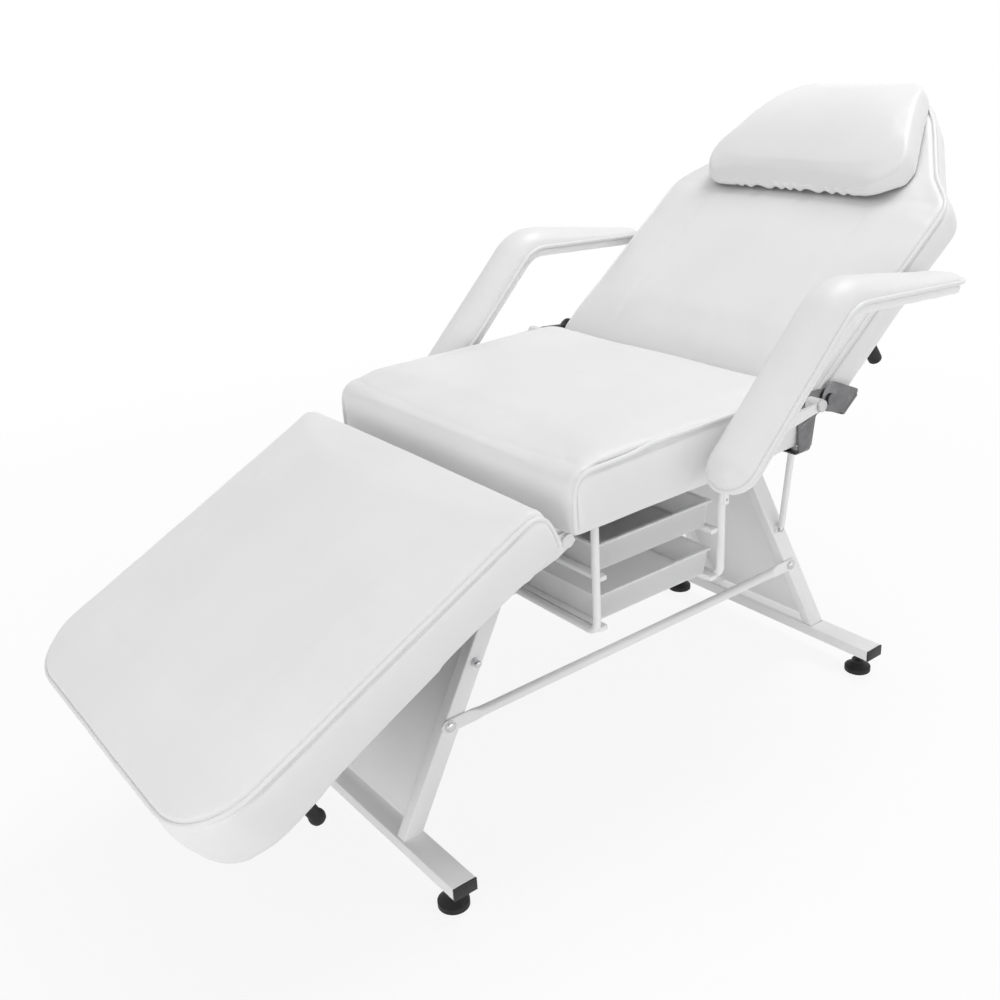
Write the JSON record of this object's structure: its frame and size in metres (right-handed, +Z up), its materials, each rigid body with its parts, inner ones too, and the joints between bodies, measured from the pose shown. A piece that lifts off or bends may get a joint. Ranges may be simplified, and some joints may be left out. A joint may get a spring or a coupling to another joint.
{
  "type": "folding massage bed",
  "caption": "Padded treatment bed with a tilting backrest and legrest, head pillow, flip-up armrests, bolted leg frames on levelling feet and sliding trays under the seat.",
  "frame": {"origin": "on the floor, under the middle of the bed's overall box", "axes": "+X to the head end, +Y to the right of a person who lies on the bed, +Z up"},
  "size_m": [1.5884, 0.78, 1.0205],
  "materials": {
    "white_steel": "white powder coat",
    "white_vinyl": "smooth white vinyl",
    "zinc": "zinc plated",
    "black_rubber": "matt",
    "black_plastic": "matt",
    "board": "plywood under black cloth",
    "white_plastic": "satin white"
  },
  "bodies": {
    "base": {"front_leg_tube_left": "white_steel", "front_leg_tube_right": "white_steel", "rear_leg_tube_left": "white_steel", "rear_leg_tube_right": "white_steel", "front_leg_panel": "white_steel", "rear_leg_panel": "white_steel", "front_floor_bar": "white_steel", "rear_floor_bar": "white_steel", "side_brace_left": "white_steel", "side_brace_right": "white_steel", "rear_stay_left": "white_steel", "rear_stay_right": "white_steel", "side_rail_left": "white_steel", "side_rail_right": "white_steel", "front_cross_rail": "white_steel", "rear_cross_rail": "white_steel", "front_tray_hoop": "white_steel", "rear_tray_hoop": "white_steel", "upper_tray_runners": "white_steel", "lower_tray_runners": "white_steel", "legrest_lug_left": "white_steel", "legrest_lug_right": "white_steel", "foot_inserts": "zinc", "brace_bolts": "zinc", "stay_bolts": "zinc", "seat_hinge_leaf_left": "zinc", "seat_hinge_leaf_right": "zinc", "backrest_pivot_bolt_left": "zinc", "backrest_pivot_bolt_right": "zinc", "legrest_pivot_pin_left": "zinc", "legrest_pivot_pin_right": "zinc", "armrest_pin_left": "zinc", "armrest_pin_right": "zinc", "floor_bar_end_caps": "black_plastic", "seat_board": "board", "seat_cushion": "white_vinyl"},
    "front_left_foot_body": {"front_left_foot": "black_rubber"},
    "front_right_foot_body": {"front_right_foot": "black_rubber"},
    "rear_left_foot_body": {"rear_left_foot": "black_rubber"},
    "rear_right_foot_body": {"rear_right_foot": "black_rubber"},
    "backrest": {"backrest_cushion": "white_vinyl", "head_pillow": "white_vinyl", "backrest_board": "board", "backrest_buffers": "black_rubber", "backrest_hinge_leaf_left": "zinc", "backrest_hinge_leaf_right": "zinc"},
    "legrest": {"legrest_cushion": "white_vinyl", "legrest_board": "board", "legrest_arm_left": "white_steel", "legrest_arm_right": "white_steel"},
    "armrest_left": {"armrest_pad_left": "white_vinyl", "armrest_board_left": "white_plastic", "armrest_bracket_left": "white_steel", "armrest_strap_left": "white_steel"},
    "armrest_right": {"armrest_pad_right": "white_vinyl", "armrest_board_right": "white_plastic", "armrest_bracket_right": "white_steel", "armrest_strap_right": "white_steel"},
    "upper_tray_body": {"upper_tray": "white_plastic"},
    "lower_tray_body": {"lower_tray": "white_plastic"}
  },
  "joints": [
    {"name": "backrest_fold", "type": "hinge", "parent": "base", "child": "backrest", "pos_m": [0.2723, 0, 0.607], "axis": [0, -1, 0], "range_deg": [-37.5, 32.5]},
    {"name": "legrest_fold", "type": "hinge", "parent": "base", "child": "legrest", "pos_m": [-0.2037, 0, 0.508], "axis": [0, 1, 0], "range_deg": [-25, 26.5]},
    {"name": "armrest_left_flip", "type": "hinge", "parent": "base", "child": "armrest_left", "pos_m": [0.2173, -0.33, 0.615], "axis": [0, 1, 0], "range_deg": [0, 70]},
    {"name": "armrest_right_flip", "type": "hinge", "parent": "base", "child": "armrest_right", "pos_m": [0.2173, 0.33, 0.615], "axis": [0, 1, 0], "range_deg": [0, 70]},
    {"name": "upper_tray_slide", "type": "slide", "parent": "base", "child": "upper_tray_body", "axis": [0, -1, 0], "range_m": [-0.2, 0.2]},
    {"name": "lower_tray_slide", "type": "slide", "parent": "base", "child": "lower_tray_body", "axis": [0, -1, 0], "range_m": [-0.2, 0.2]},
    {"name": "front_left_foot_turn", "type": "hinge", "parent": "base", "child": "front_left_foot_body", "pos_m": [-0.4227, -0.23, 0.03], "axis": [0, 0, 1], "range_deg": [-180, 180]},
    {"name": "front_right_foot_turn", "type": "hinge", "parent": "base", "child": "front_right_foot_body", "pos_m": [-0.4227, 0.23, 0.03], "axis": [0, 0, 1], "range_deg": [-180, 180]},
    {"name": "rear_left_foot_turn", "type": "hinge", "parent": "base", "child": "rear_left_foot_body", "pos_m": [0.5113, -0.23, 0.03], "axis": [0, 0, 1], "range_deg": [-180, 180]},
    {"name": "rear_right_foot_turn", "type": "hinge", "parent": "base", "child": "rear_right_foot_body", "pos_m": [0.5113, 0.23, 0.03], "axis": [0, 0, 1], "range_deg": [-180, 180]}
  ]
}
